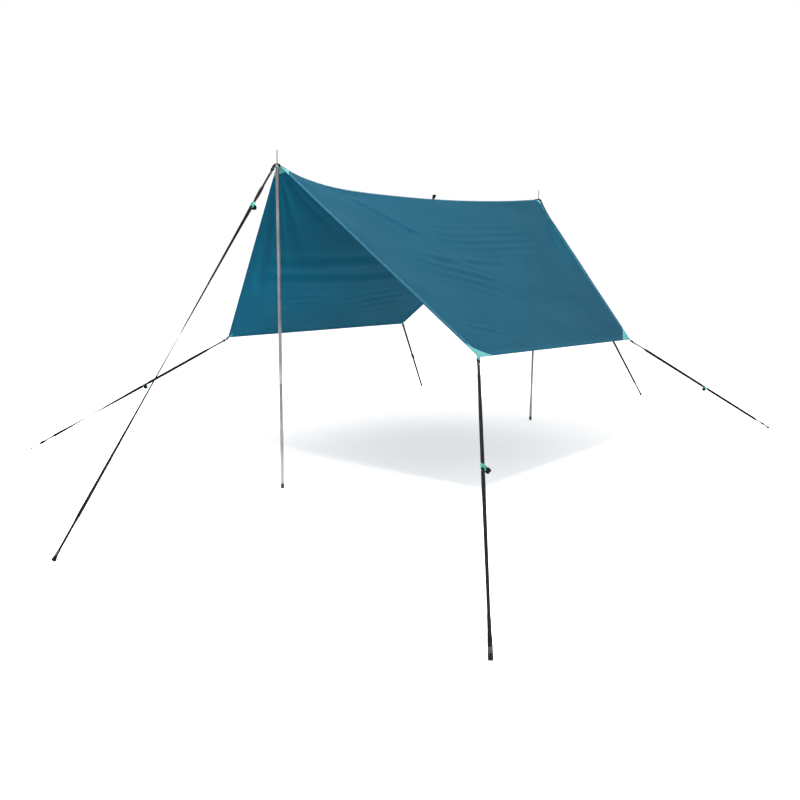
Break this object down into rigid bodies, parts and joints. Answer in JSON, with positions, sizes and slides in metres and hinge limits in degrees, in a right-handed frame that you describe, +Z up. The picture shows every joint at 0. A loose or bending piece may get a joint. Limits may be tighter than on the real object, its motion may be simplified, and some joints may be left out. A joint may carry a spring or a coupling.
{
  "type": "tarp shelter",
  "caption": "Ridge tarp shelter: a taut sheet over a sagging ridge on upright sectional poles, held out by webbing guys with sliding buckles and open at both ends.",
  "frame": {"origin": "on the ground, midway between the two poles", "axes": "+Z up, +Y along the ridge from the near pole to the far pole, +X from the ridge to the right wing"},
  "size_m": [4.0572, 6.073, 1.875],
  "materials": {
    "tarp": "coated polyester ripstop, satin, teal outside and inside",
    "reinforcement": "mint green woven polyester patch and tab, matte",
    "webbing": "flat woven black polyester webbing, matte",
    "dark_metal": "black coated steel wire, satin",
    "pole_steel": "bright galvanised steel tube, satin",
    "rubber": "black moulded rubber, matte",
    "buckle_plastic": "mint green moulded plastic, fine grain"
  },
  "bodies": {
    "ridge": {"ridge_tape": "tarp", "ridge_loop": "webbing", "ridge_tab_near": "webbing", "ridge_tab_far": "webbing", "eyelet_near": "dark_metal", "eyelet_far": "dark_metal"},
    "wing_left": {"canopy_left": "tarp", "corner_patch_near_left": "reinforcement", "ridge_patch_near_left": "reinforcement", "corner_tab_near_left": "reinforcement", "corner_patch_far_left": "reinforcement", "ridge_patch_far_left": "reinforcement", "corner_tab_far_left": "reinforcement"},
    "wing_right": {"canopy_right": "tarp", "corner_patch_near_right": "reinforcement", "ridge_patch_near_right": "reinforcement", "corner_tab_near_right": "reinforcement", "corner_patch_far_right": "reinforcement", "ridge_patch_far_right": "reinforcement", "corner_tab_far_right": "reinforcement"},
    "ring_ridge_near": {"ring_ridge_near": "dark_metal"},
    "guy_ridge_near": {"guy_ridge_near": "webbing", "peg_loop_ridge_near": "webbing"},
    "buckle_ridge_near": {"buckle_ridge_near": "buckle_plastic", "tail_ridge_near": "webbing"},
    "ring_ridge_far": {"ring_ridge_far": "dark_metal"},
    "guy_ridge_far": {"guy_ridge_far": "webbing", "peg_loop_ridge_far": "webbing"},
    "buckle_ridge_far": {"buckle_ridge_far": "buckle_plastic", "tail_ridge_far": "webbing"},
    "ring_near_left": {"ring_near_left": "dark_metal"},
    "guy_near_left": {"guy_near_left": "webbing", "peg_loop_near_left": "webbing"},
    "buckle_near_left": {"buckle_near_left": "buckle_plastic", "tail_near_left": "webbing"},
    "ring_near_right": {"ring_near_right": "dark_metal"},
    "guy_near_right": {"guy_near_right": "webbing", "peg_loop_near_right": "webbing"},
    "buckle_near_right": {"buckle_near_right": "buckle_plastic", "tail_near_right": "webbing"},
    "ring_far_left": {"ring_far_left": "dark_metal"},
    "guy_far_left": {"guy_far_left": "webbing", "peg_loop_far_left": "webbing"},
    "buckle_far_left": {"buckle_far_left": "buckle_plastic", "tail_far_left": "webbing"},
    "ring_far_right": {"ring_far_right": "dark_metal"},
    "guy_far_right": {"guy_far_right": "webbing", "peg_loop_far_right": "webbing"},
    "buckle_far_right": {"buckle_far_right": "buckle_plastic", "tail_far_right": "webbing"},
    "pole_upper_near": {"pole_upper_near": "pole_steel", "pole_pin_near": "pole_steel"},
    "pole_middle_near": {"pole_middle_near": "pole_steel"},
    "pole_lower_near": {"pole_lower_near": "pole_steel", "pole_foot_near": "rubber"},
    "pole_upper_far": {"pole_upper_far": "pole_steel", "pole_pin_far": "pole_steel"},
    "pole_middle_far": {"pole_middle_far": "pole_steel"},
    "pole_lower_far": {"pole_lower_far": "pole_steel", "pole_foot_far": "rubber"}
  },
  "joints": [
    {"name": "wing_left_lift", "type": "hinge", "parent": "ridge", "child": "wing_left", "pos_m": [0, 0, 1.8], "axis": [0, 1, 0], "range_deg": [0, 45]},
    {"name": "wing_right_lift", "type": "hinge", "parent": "ridge", "child": "wing_right", "pos_m": [0, 0, 1.8], "axis": [0, -1, 0], "range_deg": [0, 45]},
    {"name": "guy_swing_ridge_near", "type": "hinge", "parent": "ridge", "child": "ring_ridge_near", "pos_m": [0.00212, -1.40556, 1.78275], "axis": [0, 0, 1], "range_deg": [-10, 10]},
    {"name": "guy_lift_ridge_near", "type": "hinge", "parent": "ring_ridge_near", "child": "guy_ridge_near", "pos_m": [0.00293, -1.41541, 1.77016], "axis": [-0.9966, -0.0825, 0], "range_deg": [0, 80]},
    {"name": "buckle_slide_ridge_near", "type": "slide", "parent": "guy_ridge_near", "child": "buckle_ridge_near", "axis": [0.0509, -0.6151, -0.7868], "range_m": [-0.161, 1.85]},
    {"name": "guy_swing_ridge_far", "type": "hinge", "parent": "ridge", "child": "ring_ridge_far", "pos_m": [0.00237, 1.40786, 1.78486], "axis": [0, 0, 1], "range_deg": [-10, 10]},
    {"name": "guy_lift_ridge_far", "type": "hinge", "parent": "ring_ridge_far", "child": "guy_ridge_far", "pos_m": [0.00335, 1.4194, 1.77381], "axis": [0.9964, -0.0846, 0], "range_deg": [0, 80]},
    {"name": "buckle_slide_ridge_far", "type": "slide", "parent": "guy_ridge_far", "child": "buckle_ridge_far", "axis": [0.0612, 0.7208, -0.6904], "range_m": [-0.128, 2.202]},
    {"name": "guy_swing_near_left", "type": "hinge", "parent": "wing_left", "child": "ring_near_left", "pos_m": [-1.03716, -0.94276, 0.76086], "axis": [0, 0, 1], "range_deg": [-15, 15]},
    {"name": "guy_lift_near_left", "type": "hinge", "parent": "ring_near_left", "child": "guy_near_left", "pos_m": [-1.04725, -0.9524, 0.75304], "axis": [-0.4288, 0.796, -0.4272], "range_deg": [0, 80]},
    {"name": "buckle_slide_near_left", "type": "slide", "parent": "guy_near_left", "child": "buckle_near_left", "axis": [-0.6307, -0.6024, -0.4893], "range_m": [-0.535, 0.76]},
    {"name": "guy_swing_near_right", "type": "hinge", "parent": "wing_right", "child": "ring_near_right", "pos_m": [1.03576, -0.9445, 0.79185], "axis": [0, 0, 1], "range_deg": [-15, 15]},
    {"name": "guy_lift_near_right", "type": "hinge", "parent": "ring_near_right", "child": "guy_near_right", "pos_m": [1.04434, -0.95617, 0.78506], "axis": [-0.5221, -0.6819, 0.5123], "range_deg": [0, 80]},
    {"name": "buckle_slide_near_right", "type": "slide", "parent": "guy_near_right", "child": "buckle_near_right", "axis": [0.5364, -0.7295, -0.4244], "range_m": [-0.768, 0.836]},
    {"name": "guy_swing_far_left", "type": "hinge", "parent": "wing_left", "child": "ring_far_left", "pos_m": [-1.03473, 0.94475, 0.76178], "axis": [0, 0, 1], "range_deg": [-15, 15]},
    {"name": "guy_lift_far_left", "type": "hinge", "parent": "ring_far_left", "child": "guy_far_left", "pos_m": [-1.04234, 0.95693, 0.75474], "axis": [0.5396, 0.648, 0.5375], "range_deg": [0, 80]},
    {"name": "buckle_slide_far_left", "type": "slide", "parent": "guy_far_left", "child": "buckle_far_left", "axis": [-0.4756, 0.7615, -0.4404], "range_m": [-0.674, 0.794]},
    {"name": "guy_swing_far_right", "type": "hinge", "parent": "wing_right", "child": "ring_far_right", "pos_m": [1.03258, 0.94528, 0.76201], "axis": [0, 0, 1], "range_deg": [-15, 15]},
    {"name": "guy_lift_far_right", "type": "hinge", "parent": "ring_far_right", "child": "guy_far_right", "pos_m": [1.03797, 0.9586, 0.75496], "axis": [0.5938, -0.5505, -0.5868], "range_deg": [0, 80]},
    {"name": "buckle_slide_far_right", "type": "slide", "parent": "guy_far_right", "child": "buckle_far_right", "axis": [0.3366, 0.8324, -0.4403], "range_m": [-0.763, 0.706]},
    {"name": "pole_tilt_near", "type": "hinge", "parent": "ridge", "child": "pole_upper_near", "pos_m": [0, -1.38, 1.8], "axis": [1, 0, 0], "range_deg": [0, 30]},
    {"name": "pole_pull_middle_near", "type": "slide", "parent": "pole_upper_near", "child": "pole_middle_near", "axis": [0, 0, -1], "range_m": [0, 0.058]},
    {"name": "pole_pull_lower_near", "type": "slide", "parent": "pole_middle_near", "child": "pole_lower_near", "axis": [0, 0, -1], "range_m": [0, 0.058]},
    {"name": "pole_tilt_far", "type": "hinge", "parent": "ridge", "child": "pole_upper_far", "pos_m": [0, 1.38, 1.8], "axis": [-1, 0, 0], "range_deg": [0, 30]},
    {"name": "pole_pull_middle_far", "type": "slide", "parent": "pole_upper_far", "child": "pole_middle_far", "axis": [0, 0, -1], "range_m": [0, 0.058]},
    {"name": "pole_pull_lower_far", "type": "slide", "parent": "pole_middle_far", "child": "pole_lower_far", "axis": [0, 0, -1], "range_m": [0, 0.058]}
  ]
}
